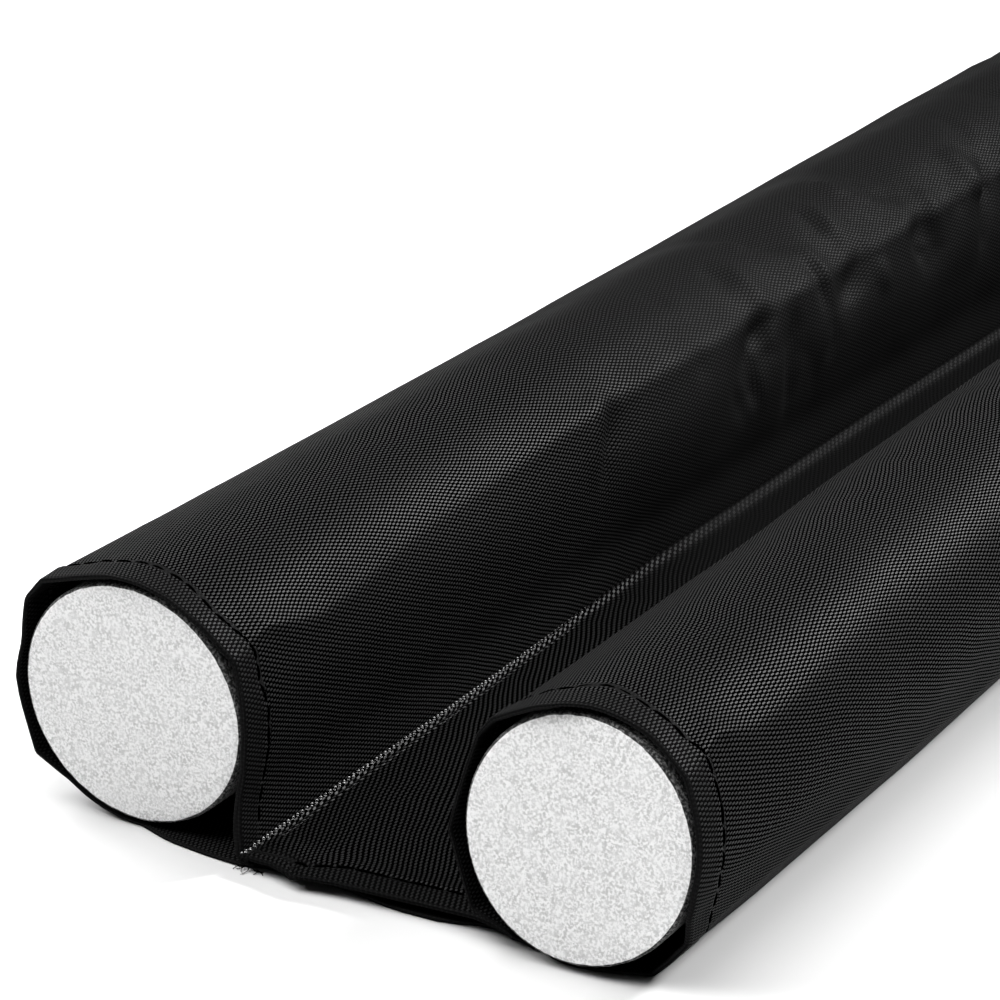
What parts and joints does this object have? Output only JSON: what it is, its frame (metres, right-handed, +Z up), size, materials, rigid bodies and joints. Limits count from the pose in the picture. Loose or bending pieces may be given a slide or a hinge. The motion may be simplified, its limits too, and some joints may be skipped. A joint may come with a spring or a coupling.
{
  "type": "draught excluder",
  "caption": "Double-sided under-door draught excluder: open-ended black woven sleeves round pale foam rods, joined by a flat web that slides under the door.",
  "frame": {"origin": "middle of the underside of the whole part, on the floor it lies on", "axes": "+X across the sleeves, +Y along them away from the open ends in the picture, +Z up from the floor"},
  "size_m": [0.1041, 0.9058, 0.0368],
  "materials": {
    "black_woven_cloth": "plain-woven synthetic cloth with a soft sheen",
    "pale_foam": "matte closed-cell foam with fine grey speckles"
  },
  "bodies": {
    "root": {"left_sleeve": "black_woven_cloth", "right_sleeve": "black_woven_cloth", "left_core": "pale_foam", "right_core": "pale_foam"}
  },
  "joints": []
}
